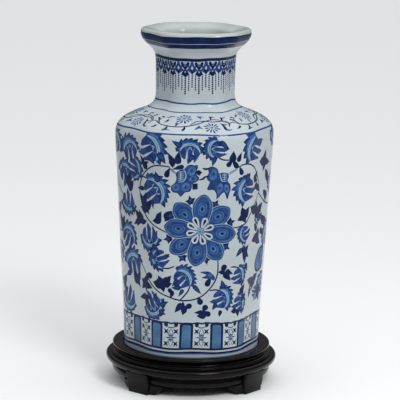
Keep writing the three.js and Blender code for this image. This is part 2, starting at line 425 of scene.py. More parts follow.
def lotus_heart(art, u, v):
    """The rosette: white loops with dark cores round a small star."""
    loops = [(-6.0, 14.5), (6.0, 13.5), (13.0, 5.5), (12.0, -6.0), (3.5, -12.5), (-6.5, -11.5),
             (-13.5, -2.0), (-12.5, 8.0)]
    for lu, lv in loops:
        art.drop(GROUND, (u + lu * 0.1, v + lv * 0.1), (u + lu * 0.8, v + lv * 0.8), 6.0)
    for lu, lv in loops:
        art.drop(NAVY, (u + lu * 0.38, v + lv * 0.38), (u + lu * 0.8, v + lv * 0.8), 2.5)
    art.disc(FAINT, u, v, 3.4)
    for k in range(8):
        far = polar((u, v), 5.2, 22 + 45 * k)
        art.stroke(MIDDLE, [polar((u, v), 1, 22 + 45 * k), far], 0.8)
    art.disc(DEEP, u, v, 0.9, sides=8)


def left_bud(art):
    """The lobed bud at the upper left of the lotus."""
    body = [(-23, 190), (-20, 193), (-15.5, 194.5), (-13, 197.5), (-9.5, 198.8), (-6, 198.2),
            (-3.6, 198.8), (-3.0, 196), (-4.2, 192), (-4, 189), (-1.8, 186.5), (-1.8, 183.8),
            (-5, 181), (-7.8, 179.8), (-8.2, 175.5), (-10, 172.2), (-14, 171.5),
            (-18.5, 167.4), (-21.5, 170.8), (-25.8, 171.6), (-27.3, 174.5), (-26.5, 178),
            (-23.2, 181.5), (-22.4, 185.5)]
    art.blob(NAVY, body)
    art.blob(DEEP, moved(body, -0.7, 9.2, 0.95))
    for lobe in (
        [(-12.5, 190), (-11, 195.5), (-7, 197), (-4.8, 195), (-5.8, 189.5), (-9, 187.5)],
        [(-25.6, 173.4), (-26, 177), (-22, 180.2), (-19.5, 178), (-20.6, 173.2)],
        [(-17.5, 174), (-16.5, 179), (-12, 180.6), (-9.6, 178), (-10.6, 174), (-14, 172.8)],
        [(-11, 183), (-8.5, 187), (-4.5, 186.6), (-3.2, 184.6), (-6.5, 182.4)],
    ):
        art.blob(MIDDLE, lobe)
    for u, v in ((-8.5, 192.5), (-22.8, 176.6), (-13.4, 176.6), (-7, 184.8)):
        art.disc(DEEP, u, v, 1.5, 1.3)
    art.stroke(FAINT, [(-16.2, 194), (-14, 190), (-13.8, 186), (-16, 182.4), (-20.4, 181.6)], 1.0)
    for k in range(5):
        art.stroke(FAINT, [(-21, 183.4 + 2 * k), (-15.5, 184 + 1.9 * k)], 0.7)
    art.stroke(FAINT, [(-18.4, 182.6), (-18.6, 192.4)], 0.7)
    art.add(NAVY, [(-6, 191), (-2.2, 194), (1.2, 191.4), (-1.4, 187.6)])
    art.add(NAVY, [(-7.8, 180), (-2.8, 180.2), (-2.6, 174.2), (-7.5, 173.8)])


def right_bud(art):
    """The lobed bud at the upper right of the lotus."""
    body = [(24.6, 189.8), (25.8, 186), (24.8, 182.6), (27.6, 178.6), (28.6, 174.8),
            (27.6, 169.5), (26, 164.2), (24.2, 168.2), (22.2, 171), (20.4, 169.8),
            (18, 166.6), (15.8, 164.2), (15.4, 168.2), (13.6, 172), (11, 173.6), (8.4, 173),
            (6.2, 174), (7.4, 178.6), (8.2, 181.4), (6, 183.8), (5.6, 187.5), (7.2, 190.6),
            (6.6, 193.5), (7, 196.2), (10.4, 197), (13.6, 195.8), (15.8, 193.2),
            (16.4, 190.4), (20, 190.8)]
    art.blob(NAVY, body)
    art.blob(DEEP, moved(body, 0.8, 9.1, 0.95))
    for paint, lobe in (
        (MIDDLE, [(8.2, 185), (8.8, 190), (11.5, 194.4), (14.2, 192.6), (14.8, 188), (12.5, 184)]),
        (MIDDLE, [(15.4, 172), (16.6, 178.6), (19, 180.5), (20.6, 176.5), (19.6, 171.4), (17, 168.4)]),
        (DEEP, [(9.6, 176), (10.2, 180), (13.4, 181.8), (14.2, 177.6), (12, 174.8)]),
        (MIDDLE, [(22.6, 174), (22.8, 178.6), (25.6, 177.6), (27, 173.6), (25.4, 170.4)]),
    ):
        art.blob(paint, lobe)
    for u, v in ((11.6, 189.5), (17.8, 175.4), (24.8, 174.6)):
        art.disc(DEEP, u, v, 1.3, 1.4)
    art.stroke(FAINT, [(17.4, 190), (18.2, 186), (19.4, 182.6), (23.8, 181.8)], 1.0)
    for k in range(4):
        art.stroke(FAINT, [(19.4, 184 + 1.8 * k), (24.4, 184 + 1.7 * k)], 0.7)
    art.stroke(FAINT, [(22, 182.8), (21.8, 190)], 0.7)
    art.stroke(NAVY, [(8, 195.6), (4.6, 194.6), (1.2, 195.6)], 2.2, 0.8)
    art.stroke(NAVY, [(8, 187.4), (4, 186.6), (1.6, 184.4), (-1.8, 183.8)], 2.0, 0.8)


# paths of the scrolling stems
STEMS = [
    [(-29, 196), (-36, 196.6), (-44, 196), (-53, 191), (-61, 183), (-65, 172), (-64.4, 162),
     (-61, 151), (-56, 144), (-48, 138), (-38, 133.6), (-30, 130.5)],
    [(34, 194.6), (40, 197.6), (47, 198), (57, 194), (66, 185), (72, 174), (73, 167)],
    [(72, 165), (80, 159.5), (88, 154), (98, 150), (107, 151), (114, 156)],
    [(33, 135), (42, 135.5), (50, 138), (55, 143), (62, 151), (69, 159), (72, 165)],
    [(18.6, 104), (19.4, 95), (18.6, 87), (15.4, 79.5), (10, 72.5), (3, 66.5), (-6, 63.4),
     (-18, 63), (-30, 65.5), (-42, 69.6), (-52, 77.6), (-60, 88), (-66, 96)],
    [(-19, 63), (-14, 68), (-10, 73), (-8, 79)],
    [(12, 73), (18, 73.4), (24, 72)],
    [(-62, 184), (-55, 183), (-48, 181)],
    [(-43, 132), (-43.6, 126), (-44, 120)],
    [(15, 206.4), (20, 203.6), (27, 203.2)],
    [(-24.4, 97), (-31, 94.6), (-38, 95)],
    [(33, 95.4), (38, 95), (44, 92)],
    [(-96, 121), (-104, 122), (-114, 118)],
    [(-92, 158), (-100, 164), (-106, 172), (-108, 182)],
]

# tip, head and width of each of the dark leaves and commas
DARK_LEAVES = [
    (-30.5, 210, -26.4, 201.5, 4.4), (-20, 212, -21.6, 202, 5.0), (-27, 193.5, -18.2, 196.2, 3.6),
    (-26.5, 195, -27, 200.5, 4.6), (30, 212.6, 29.6, 204.4, 5.6), (38.8, 210.6, 36, 203.4, 3.8),
    (30.5, 203.5, 25.6, 198.4, 3.8), (28.6, 204.4, 33.4, 197, 4.2),
    (-28.4, 195.2, -31.6, 188.2, 4.2), (36.8, 196.6, 39.4, 190, 4.0), (-37, 152, -40.6, 145, 5.4),
    (-46.4, 141.6, -41, 142.6, 4.6), (-24, 153.4, -31, 147.6, 6.4), (-34, 142, -30.6, 146.2, 4.6),
    (-61.5, 203, -55.4, 194, 4.0), (-52, 198.4, -57, 195.5, 3.6), (-67, 171, -60.4, 171.6, 3.2),
    (-50, 160.5, -54.5, 154, 5.4), (-60, 155.5, -54.6, 153, 4.6), (-55, 166.6, -57.4, 159.6, 3.6),
    (-75.4, 133.4, -67, 138.6, 4.8), (-67.6, 147.4, -64, 141.2, 4.6),
    (-56.6, 139.4, -62.4, 137.8, 4.0), (42.6, 155.2, 45.2, 149.2, 5.6), (38, 142.2, 44.6, 145, 5.8),
    (53.2, 152.4, 49.4, 146.6, 5.4), (49, 139, 46.6, 143.6, 4.2), (-57.8, 83.6, -52.4, 84.6, 4.4),
    (-65.6, 70.6, -60.2, 76.2, 5.2), (-50.6, 72.4, -56.8, 74.2, 4.6),
    (-58.6, 68.6, -58.8, 76.4, 4.2), (-46.6, 78.6, -40.8, 77.4, 6.4), (-32, 86.6, -36, 79, 6.0),
    (-35.6, 69.6, -37.6, 76, 5.6), (-42.6, 83.8, -40.6, 76.6, 4.6), (-29.4, 64.4, -26.8, 70.4, 3.6),
    (-24.6, 70, -28.8, 72.4, 3.8), (-24.6, 49.8, -18.6, 57.4, 5.0), (-16, 47.6, -14.4, 54.2, 5.4),
    (-15, 55.4, -8.8, 57.2, 4.4), (-15.6, 62.6, -15.6, 57.6, 3.2), (0.4, 66.8, 2.6, 61.2, 4.8),
    (5.4, 50, 8, 55.4, 4.6), (3.6, 50.2, 10.6, 48.6, 4.6), (-4.2, 50.4, 3.4, 50.6, 3.4),
    (-1.6, 46.6, 5.2, 46.8, 5.2), (22.2, 45.6, 23.6, 50.6, 3.2), (25, 89.6, 25.6, 96, 4.6),
    (19, 91.2, 24.6, 90.8, 3.8), (33.4, 81.4, 27.8, 87.6, 5.0), (36, 88.4, 29.6, 91.4, 3.8),
    (13.6, 86.6, 9.4, 80, 4.6), (-69, 59.6, -61.6, 62, 4.2), (-60.4, 53, -58.6, 59.6, 3.8),
    (-53, 62.4, -57.6, 61.6, 3.4), (61.4, 170.4, 66, 173.6, 4.0), (73.6, 166.2, 69, 171.2, 4.2),
    (58, 152, 65.4, 148.4, 6.4), (83.4, 152.2, 77, 147, 6.0), (80.6, 139, 72.6, 144.6, 6.4),
    (69, 156, 69.6, 149, 5.0), (66, 117.4, 73.6, 119, 6.0), (79.4, 127.4, 77.4, 120.6, 5.6),
    (83.4, 112.6, 77.4, 116.4, 5.6), (62, 77.4, 70.4, 74.8, 6.0), (83, 80, 76.8, 76.2, 5.6),
    (72.4, 66.6, 75.4, 72.6, 5.4), (71.6, 196.6, 77.8, 195.8, 6.0), (83.6, 205, 81, 197.8, 5.2),
    (92.4, 192.6, 84.6, 194.4, 5.0), (80.4, 186.4, 82, 192.6, 4.8), (84.4, 61.4, 89.4, 63.4, 5.6),
    (92.6, 52.6, 89.6, 59.4, 4.8), (95, 173.6, 90.6, 178.6, 4.6), (86.4, 185.4, 89.6, 180.4, 4.4),
    (91, 154.4, 90.6, 160.4, 4.6), (84.8, 164.6, 88.6, 161.6, 4.2), (97.6, 133, 89.6, 134.4, 5.6),
    (83.4, 140.6, 87.6, 136.2, 4.6), (-101, 150, -106, 144, 5.2), (-112, 150, -107, 142.6, 4.6),
    (103, 90, 106.6, 84.6, 5.0), (113, 86.6, 108.6, 82.6, 4.8), (107, 74, 108, 80.4, 4.4),
    (103, 196, 107.6, 200.6, 5.2), (114, 202.6, 109.4, 199.2, 4.6), (106, 188, 107.6, 195, 4.4),
    (105, 53, 109, 58, 5.0), (114, 52, 111, 57, 4.4), (-80, 184, -84, 175, 5.6),
    (-89, 180, -84, 172, 4.8), (-77, 176, -82, 168.6, 4.8), (-63, 164, -58.6, 156, 5.0),
    (-64, 152, -58.6, 150, 4.6), (-53, 148, -57, 153, 4.0), (-74, 147, -68, 141, 5.0),
    (-71, 133, -67.6, 140, 4.8), (-70, 84, -75, 76.6, 5.6), (-81, 84, -77, 75.6, 5.4),
    (-71, 71, -76, 76.6, 4.6), (-42, 87, -37, 80, 5.6), (-27, 88, -32, 81, 5.2),
    (-26, 80, -32, 77.6, 4.6), (-55, 85, -60, 77.6, 4.6), (-66, 78.6, -61, 76, 4.6),
    (-95, 136, -99, 128, 5.6), (-104, 140, -100, 131, 4.6), (-96, 76, -101, 70, 5.2),
    (-107, 74, -102, 68, 4.8), (-96, 60, -101, 66, 4.4), (45, 113, 49.6, 107.6, 4.8),
    (56, 114, 51, 108.6, 4.4), (51, 98, 50.4, 106, 4.4), (57, 103, 52, 106.6, 3.8),
    (35.6, 50, 40.4, 50.4, 4.4), (46, 43.4, 45, 48.8, 4.0), (53, 75, 49.6, 70, 4.2),
    (56, 66, 52, 62, 3.8), (57, 89, 54, 94, 3.4), (66, 187, 62, 182, 4.4),
    (67, 178, 62.6, 180, 4.0), (69, 133, 73, 128.6, 4.2), (67, 70, 71, 73.6, 4.6),
    (66, 60, 68, 66, 3.8), (90, 120, 86, 124.6, 4.4),
]

# centre, rib radius, start and end angle, reach of the teeth, number of teeth
FLAMES = [
    (-10.5, 209.5, 8.6, 172, 2, 7.0, 9), (16, 214, 8.4, 95, 258, 6.6, 9),
    (-54.5, 210, 12.0, 92, -40, 8.6, 8), (-48.5, 168.5, 10.8, 112, -42, 7.6, 10),
    (51.5, 171, 10.0, 92, 246, 7.4, 9), (63, 209, 12.0, 100, 215, 8.6, 6),
    (-79, 204, 9.0, 185, 20, 7.2, 9), (-89, 179, 9.0, 160, 0, 6.0, 7),
    (-86, 158, 9.4, 200, 335, 6.0, 7), (-52.6, 127, 8.8, 190, 350, 6.2, 8),
    (-38, 104.5, 8.8, 118, 282, 6.6, 8), (-88.5, 116, 8.6, 150, -20, 6.8, 8),
    (-79, 87, 11.0, 170, 30, 7.6, 8), (-18, 82.5, 9.8, 112, -26, 7.8, 9),
    (21.5, 62.6, 9.8, 88, -50, 7.6, 9), (-50.5, 57, 9.2, 205, 385, 6.0, 9),
    (-91, 57, 9.4, 170, 330, 5.6, 7), (40.5, 84, 9.0, 80, -50, 5.6, 7),
    (45, 56, 8.4, 95, -60, 5.6, 7), (51.5, 127.5, 6.8, 120, 270, 4.8, 7),
    (-75.5, 190, 8.0, 70, -90, 5.6, 6), (105, 116, 9.0, 60, 220, 6.6, 8),
    (107, 176, 8.6, 330, 170, 6.4, 8), (106, 222, 8.4, 170, 320, 5.0, 6),
    (100, 66.6, 8.0, 80, 240, 5.6, 7), (-108, 208, 8.6, 120, -30, 6.0, 7),
    (-107, 96, 8.0, 30, 190, 5.8, 7), (79, 141, 5.6, 100, 262, 4.4, 6),
    (80, 62, 5.6, 60, -85, 4.4, 6),
]

# tip, head and width of the flames' pointed horns, which are lighter than the commas
HORNS = [
    (-27.4, 221.8, -20, 217.6, 5.4), (-12.4, 201.4, -8.4, 206.4, 5.0),
    (10, 196.8, 12.2, 204.6, 4.6), (26, 213.6, 19, 220.4, 5.4), (-32.8, 198.4, -38, 206.6, 7.0),
    (-43.4, 190.6, -41, 183, 6.6), (51.6, 189.4, 48, 182.6, 6.6), (-46.4, 153, -47.6, 160.4, 4.0),
    (75.6, 218.6, 68, 216.4, 7.6), (-44, 196.8, -48.4, 203, 5.4), (3.6, 69, -3.2, 76.4, 5.0),
    (-20.4, 66.6, -16.4, 72.4, 4.0), (-27.4, 75.4, -20.4, 75.6, 5.2), (-26.6, 76.6, -22, 83, 4.0),
    (23.4, 83.2, 25.6, 76.6, 5.2), (15, 52.4, 18.4, 58, 4.4), (-30.6, 61, -38.4, 56.6, 5.0),
    (-44.4, 68.4, -46.4, 61.6, 5.6), (-33.6, 46.6, -40, 49.6, 4.6), (-52.4, 110.4, -47.6, 105, 4.6),
    (-28.6, 107.4, -34.6, 105.4, 4.2), (-66, 103, -70.4, 97, 5.2), (-95.6, 76.6, -88.4, 80.6, 5.6),
    (52.6, 76, 46.4, 80.6, 4.6), (55, 47, 49.6, 51.4, 4.6), (38, 104.6, 44, 110.4, 5.6),
    (51.6, 108.6, 48.4, 113, 5.0), (-64.6, 183.6, -70.4, 188.4, 4.8), (-95, 190.4, -90.6, 184, 5.4),
    (-75.6, 142.6, -79.4, 149.4, 5.0), (-42.4, 91.6, -44, 96.6, 4.4),
    (-40, 112.6, -46.6, 116.4, 4.4),
]


def panel_art():
    """The body's scrolling lotus, for the front half; the back half repeats it."""
    art = Art()
    rng = random.Random(7)
    for path in STEMS:
        art.stroke(NAVY, path, 1.5, 0.25, 2.2)
    for side in (-0.7, 0.7):
        art.stroke(DEEP, [(-31, 196 + side), (-27, 193 + side), (-22.6, 189.6 + side)], 0.7)
        art.stroke(DEEP, [(35, 194.6 + side), (30, 191.6 + side), (24.6, 188.6 + side)], 0.7)
    for u, v, radius, start, end, reach, teeth in FLAMES:
        size = 1.08 if -47 < u < 47 else 1.24
        art.flame((u, v), radius * size, start, end, reach * size, teeth)
    for *tip, u, v, width in HORNS:
        art.drop(NAVY, tip, (u, v), width)
        art.drop(DEEP, between(tip, (u, v), 0.25), (u, v), width * 0.62)
    for *tip, u, v, width in DARK_LEAVES:
        if abs(tip[0]) > 46:
            tip = between(tip, (u, v), -0.3)
            width *= 1.2
        art.drop(NAVY, tip, (u, v), width * 1.3, rng.uniform(-0.5, 0.5))
    art.blob(DEEP, [(1.8, 91.8), (6, 92.6), (11, 92), (15, 88.6), (17, 85.4), (15.6, 83),
                    (12.6, 84.6), (9, 85), (3.6, 86.4), (8, 88.8)])
    art.disc(MIDDLE, 11.6, 88.4, 2.4, 0.7)
    art.blob(NAVY, [(76, 92), (79, 100), (86, 107), (95, 107.5), (96, 96), (95, 85), (86, 81.5),
                    (79, 84)])
    art.blob(MIDDLE, [(78.6, 92), (81, 99), (87, 104.6), (93.4, 105), (94, 96), (92.6, 87),
                      (86, 84), (81, 86)])
    art.disc(DEEP, 87, 95, 3.6, 1.5)
    lotus(art, 0.5, 132)
    left_bud(art)
    right_bud(art)
    return art


BODY_GIRTH = 455.7  # round the vase where the painting of the body keeps its width
BORDER_REPEATS = 14
BORDER_PITCH = BODY_GIRTH / BORDER_REPEATS
BORDER_START = 13.6
BORDER_HEIGHT = 40.3 - BORDER_START


def border_art():
    """Blue pillars between white panels of little florets, under a scalloped line."""
    art = Art()
    half = BORDER_PITCH / 2
    middle = 4.3
    top = BORDER_HEIGHT
    edge = middle + half
    crown = [(-half, top - 0.9), (-9.5, top - 1.2), (-5, top - 0.5), (0, top - 1.6), (5, top - 0.5),
             (9.5, top - 1.2), (half, top - 0.9)]
    art.stroke(NAVY, moved(crown, middle), 1.7, 0.0)
    for paint, w, high in ((NAVY, 7.2, top - 1.4), (WASH, 4.8, top - 2.8)):
        outline = [(-w, 0), (w, 0), (w, high - 1.6), (w - 1.2, high - 0.4), (w - 2.6, high),
                   (-w + 2.6, high), (-w + 1.2, high - 0.4), (-w, high - 1.6)]
        art.add(paint, moved(outline, edge))
    # the little cup at the top of the white panel
    for side in (-1, 1):
        blob = [(3.2, top - 1.2), (7.6, top - 1.6), (7.2, top - 4.2), (5.2, top - 5.4),
                (3.4, top - 4.6)]
        art.add(NAVY, [(middle + side * a, b) for a, b in blob])
    art.stroke(NAVY, [(middle - 4, top - 5.2), (middle, top - 6.0), (middle + 4, top - 5.2)], 1.0)
    # corner florets, like an X with a dark heart
    for fu, fv in ((-5.2, 17.0), (5.2, 17.0), (-5.2, 4.4), (5.2, 4.4)):
        for k in range(4):
            art.drop(NAVY, polar((middle + fu, fv), 3.9, 45 + 90 * k), (middle + fu, fv), 2.1)
        art.disc(NAVY, middle + fu, fv, 1.3, sides=8)
    # central star
    heart = (middle, 10.7)
    for k in range(8):
        angle = 45 * k
        far = 7.0 if k % 4 == 0 else 4.8
        art.drop(DEEP if k % 2 else NAVY, polar(heart, far, angle), polar(heart, 1.8, angle), 1.3)
    for side in (-1, 1):
        loop = [(0.2, 1.6), (2.0, 3.8), (1.8, 6.4), (0.2, 8.8)]
        art.stroke(DEEP, [(middle + side * a, heart[1] + b) for a, b in loop], 0.85)
        art.stroke(DEEP, [(middle + side * a, heart[1] - b) for a, b in loop], 0.85)
    art.disc(NAVY, middle, heart[1], 0.9, sides=8)
    return art


NECK_REPEATS = 18
NECK_PITCH = 242.6 / NECK_REPEATS
NECK_START = 278.0
NECK_HEIGHT = 37.3
BEAD_PITCH = 2.1


def neck_art():
    """Swags, hearts and strings of beads, hung from the top of the zone."""
    art = Art()
    top = NECK_HEIGHT
    half = NECK_PITCH / 2
    for side in (-1, 1):
        art.stroke(DEEP, [(side * 0.4, top - 9.6), (side * 3.4, top - 7.6), (side * 5.8, top - 3.4),
                          (side * 6.6, top)], 2.3, 0.1)
        art.stroke(DEEP, [(side * 6.7, top - 9.8), (side * 4.6, top - 6.4),
                          (side * 2.4, top - 3.8), (0, top - 3.0)], 1.7, 0.1)
        art.drop(NAVY, (side * 1.2, top - 7.2), (side * 2.9, top - 1.8), 3.0)
        art.drop(NAVY, (side * 6.7, top - 12.4), (side * 5.2, top - 8.8), 2.6)
        art.disc(DEEP, side * 4.4, top - 9.4, 1.1)
    art.drop(NAVY, (0, top - 9.6), (0, top - 5.6), 3.2)
    art.add(FAINT, [(-1.5, top - 0.3), (1.5, top - 0.3), (0.8, top - 2.4), (-0.8, top - 2.4)])
    for side in (-1, 1):
        art.drop(NAVY, (0, top - 15.4), (side * 1.7, top - 11.4), 3.4)
    strings = [(0, top - 16.4, 8, 2.0), (-3.4, top - 12.8, 8, 1.7), (3.4, top - 12.8, 8, 1.7),
               (half, top - 11.8, 7, 1.8)]
    for u, start, count, size in strings:
        for k in range(count):
            art.disc(NAVY, u, start - BEAD_PITCH * k, size / 2, 1.0, 20, 6)
        art.stroke(DEEP, [(u, start), (u, start - BEAD_PITCH * (count - 1))], 0.3, 0.05, 6)
    return art


SHOULDER_GIRTH = 381.8
SHOULDER_REPEATS = 5
SHOULDER_PITCH = SHOULDER_GIRTH / SHOULDER_REPEATS


def aster(art, u, v, r):
    """A small flower with twelve petals."""
    for k in range(12):
        far = polar((u, v), r * (1 if k % 2 else 0.86), 15 + 30 * k)
        art.drop(DEEP, polar((u, v), r * 0.2, 15 + 30 * k), far, r * 0.24)
    art.disc(MIDDLE, u, v, r * 0.2, sides=8)


def shoulder_art():
    """Asters on a running vine, painted five times round."""
    one = Art()
    aster(one, -16, 22.5, 8.0)
    aster(one, 9.5, 8.5, 6.4)
    for path in (
        [(-51, 13), (-45, 15.5), (-38, 11.6), (-28, 9.2), (-18, 8.8), (-8, 10.6), (0, 15),
         (8, 20), (16, 21.4), (25.4, 18)],
        [(-9, 12), (-3, 17.6), (4, 18.6), (12, 17.4), (20, 18.4), (25.4, 15)],
        [(-38, 11.6), (-41, 17), (-40, 22)],
        [(22, 20), (27, 15), (25, 9.4)],
    ):
        one.stroke(NAVY, path, 1.4, 0.3)
    for tip, head, width in (
        ((0.6, 22.4), (-1.6, 26.8), 2.4), ((3.8, 25), (1, 26.6), 2.0),
        ((-34.4, 14.6), (-31.6, 19), 2.4), ((-23, 10), (-21.4, 13.6), 2.2),
        ((-18.4, 14.6), (-22, 14.2), 1.8), ((-42, 16), (-44.4, 20.6), 2.6),
        ((-38.6, 21.6), (-41.6, 24), 2.4), ((-29.8, 9.4), (-30.6, 4.4), 2.4),
        ((-26.4, 3.6), (-32, 3.8), 2.0), ((-14.6, 9), (-15, 4.6), 2.4),
        ((-5.6, 6), (-3, 7.6), 2.2), ((1.4, 6), (-2, 7.6), 2.2), ((-2.2, 11), (-2.4, 7.4), 2.2),
        ((10, 22), (11.4, 26), 2.4), ((15, 24.6), (12.4, 26.4), 2.2),
        ((20.4, 20), (22.6, 24.6), 2.4), ((27, 26), (23.6, 24.4), 2.0),
        ((18, 14.4), (21, 6.8), 2.6), ((26, 6), (21.6, 5.6), 2.0),
        ((24, 13.4), (20.4, 13), 2.0), ((-44.4, 6.6), (-40.6, 8.6), 2.4),
        ((-36, 24), (-31.4, 25.6), 2.2), ((-27, 25), (-30.6, 25.4), 2.0),
    ):
        bend = 0.9 if tip[1] > head[1] else -0.9
        paint = NAVY if width > 2.3 else DEEP
        one.drop(paint, between(tip, head, -0.3), head, width * 1.05, bend)
    art = Art()
    for k in range(SHOULDER_REPEATS):
        art.merge(one, (k - SHOULDER_REPEATS // 2) * SHOULDER_PITCH)
    return art


# ---- laying the painting on the vase -------------------------------------------------


EDGE_GAP = 0.1  # art stays this far inside its tile's lower and upper edges


def inside(points, outline):
    """Which points lie inside an outline, by its winding round them."""
    a, b = outline, np.roll(outline, -1, axis=0)
    px, py = points[:, 0:1], points[:, 1:2]
    cross = (b[:, 0] - a[:, 0]) * (py - a[:, 1]) - (px - a[:, 0]) * (b[:, 1] - a[:, 1])
    up = (a[:, 1] <= py) & (b[:, 1] > py) & (cross > 0)
    down = (a[:, 1] > py) & (b[:, 1] <= py) & (cross < 0)
    return (up.sum(1) - down.sum(1)) != 0


def tile_rim(width, height, columns, rows):
    """Points along a tile's four sides, anticlockwise from its lower left corner."""
    rim = [(-width / 2 + width * i / columns, 0.0) for i in range(columns)]
    rim += [(width / 2, height * i / rows) for i in range(rows)]
    rim += [(width / 2 - width * i / columns, height) for i in range(columns)]
    rim += [(-width / 2, height - height * i / rows) for i in range(rows)]
    return rim


def tile_outlines(art, width, height):
    """The art's outlines over a tile, with those that lap in from its two neighbours."""
    outlines = []
    for paint, outline in art.layers:
        for copy in (-1, 0, 1):
            shape = outline + [copy * width, 0]
            if shape[:, 0].max() < -width / 2 or shape[:, 0].min() > width / 2:
                continue
            shape[:, 1] = np.clip(shape[:, 1], EDGE_GAP, height - EDGE_GAP)
            outlines.append((paint, shape))
    return outlines


def topmost_paints(points, outlines):
    """The paint of the topmost outline over each point."""
    paints = np.full(len(points), GROUND)
    for paint, shape in outlines:
        low, high = shape.min(0), shape.max(0)
        near = np.where(((points >= low) & (points <= high)).all(1))[0]
        if len(near):
            paints[near[inside(points[near], shape)]] = paint
    return paints


def paint_tile(art, width, height, columns, spacing):
    """Triangulates a tile along its outlines: its points, faces and the faces' paints."""
    rows = max(1, int(round(height / spacing)))
    across = max(1, int(round(width / spacing)))
    verts = tile_rim(width, height, columns, rows)
    edges = [(i, (i + 1) % len(verts)) for i in range(len(verts))]
    for row in range(1, rows):
        for i in range(1, across):
            shift = 0.5 if row % 2 and i < across - 1 else 0.0
            verts.append((-width / 2 + width * (i + shift) / across, height * row / rows))
    outlines = tile_outlines(art, width, height)
    for _, shape in outlines:
        start, count = len(verts), len(shape)
        verts.extend(shape)
        edges.extend((start + i, start + (i + 1) % count) for i in range(count))
    points, _, faces, _, _, _ = delaunay_2d_cdt([Vector(v) for v in verts], edges, [], 0, 1e-3)
    points = np.array([(p.x, p.y) for p in points])
    faces = np.array([tuple(face) for face in faces])
    middles = points[faces].mean(1)
    kept = np.abs(middles[:, 0]) < width / 2
    faces, middles = faces[kept], middles[kept]
    middles[:, 1] = np.clip(middles[:, 1], EDGE_GAP * 1.3, height - EDGE_GAP * 1.3)
    used, index = np.unique(faces, return_inverse=True)
    return points[used], index.reshape(faces.shape), topmost_paints(middles, outlines)


class Skin:
    """Vertices as (turn, distance along the profile) and painted faces."""

    def __init__(self):
        self.points = []
        self.faces = []
        self.paints = []
        self.count = 0

    def add(self, points, faces, paints):
        """Joins on a patch, whose faces count its own points from 0."""
        self.points.append(np.asarray(points, float))
        self.faces.extend([tuple(int(i) + self.count for i in face) for face in faces])
        self.paints.extend(int(p) for p in paints)
        self.count += len(points)

    def band(self, low, high, rows, paint):
        """Quads right round between two distances along the profile."""
        turns = np.arange(COLUMNS) / COLUMNS
        points = [
            np.stack([turns, np.full(COLUMNS, low + (high - low) * row / rows)], -1)
            for row in range(rows + 1)
        ]
        faces = []
        for row in range(rows):
            for i in range(COLUMNS):
                j = (i + 1) % COLUMNS
                near, far = row * COLUMNS, (row + 1) * COLUMNS
                faces.append((near + i, near + j, far + j, far + i))
        self.add(np.concatenate(points), faces, [paint] * len(faces))

    def tiles(self, low, high, repeats, width, art, spacing):
        """A painted zone: one tile of art, laid side by side right round the vase.

        In the art u = 0 is the tile's middle and v = 0 its lower edge."""
        height = high - low
        points, faces, paints = paint_tile(art, width, height, COLUMNS // repeats, spacing)
        for k in range(repeats):
            turns = (points[:, 0] / width + k) / repeats
            spread = np.stack([turns, low + points[:, 1]], -1)
            self.add(spread, faces, paints)


# ---- the vase ------------------------------------------------------------------------


def unsteady(points):
    """Shifts the painting a little along the skin, as no hand draws a true line."""
    turn, s = points[:, 0], points[:, 1]
    around = 2 * math.pi * turn
    fade = np.clip((s - along(38)) / 6, 0, 1) * np.clip((ALONG[CREST] - s) / 6, 0, 1)
    rise = 0.34 * np.sin(3 * around + s / 31) + 0.22 * np.sin(7 * around - s / 19)
    rise += 0.16 * np.sin(12 * around + s / 9)
    drift = 0.0007 * np.sin(s / 13 + 2 * around) + 0.0004 * np.sin(s / 5.3 - 5 * around)
    return np.stack([turn + drift * fade, s + rise * fade], -1)


WELD = 4e-6  # metres; closes the seams between the zones and between their tiles


def build_mesh(skin, name, paints):
    """Welds the skin, and gives it the vase's true normals."""
    points = unsteady(np.concatenate(skin.points))
    places, _ = surface(points[:, 0], points[:, 1])
    bm = bmesh.new()
    turn_layer = bm.verts.layers.float.new("turn")
    along_layer = bm.verts.layers.float.new("along")
    for place, (turn, s) in zip(places * MM, points):
        vert = bm.verts.new(place)
        vert[turn_layer] = turn
        vert[along_layer] = s
    bm.verts.ensure_lookup_table()
    for face, paint in zip(skin.faces, skin.paints):
        bm.faces.new([bm.verts[i] for i in face]).material_index = paint
    bmesh.ops.remove_doubles(bm, verts=bm.verts, dist=WELD)
    loose = [v for v in bm.verts if not v.link_faces]
    bmesh.ops.delete(bm, geom=loose, context="VERTS")
    mesh = bpy.data.meshes.new(name)
    bm.to_mesh(mesh)
    turns = np.array([v[turn_layer] for v in bm.verts])
    distances = np.array([v[along_layer] for v in bm.verts])
    bm.free()
    for polygon in mesh.polygons:
        polygon.use_smooth = True
    _, normals = surface(turns, distances)
    mesh.normals_split_custom_set_from_vertices(normals.tolist())
    for layer in ("turn", "along"):
        mesh.attributes.remove(mesh.attributes[layer])
    for material in paints:
        mesh.materials.append(material)
    thing = bpy.data.objects.new(name, mesh)
    bpy.context.collection.objects.link(thing)
    return thing


# heights on the painting's own scale, which begins at the sheet's base on the profile
SHEET_BASE = along(72) - 38.3
PANEL_LOW = BORDER_START + BORDER_HEIGHT
PANEL_HIGH = 227.2
SHOULDER_LOW = 228.8
SHOULDER_HIGH = 262.8
NECK_HIGH = NECK_START + NECK_HEIGHT


def close_end(skin, place, near, paint):
    """Fans that close the skin where the profile meets the axis."""
    turns = np.arange(COLUMNS) / COLUMNS
    ring = np.stack([turns, np.full(COLUMNS, near)], -1)
    fan = [(0, 1 + i, 1 + (i + 1) % COLUMNS) for i in range(COLUMNS)]
    if place < near:
        fan = [face[::-1] for face in fan]
    skin.add(np.concatenate([[[0.0, place]], ring]), fan, [paint] * COLUMNS)


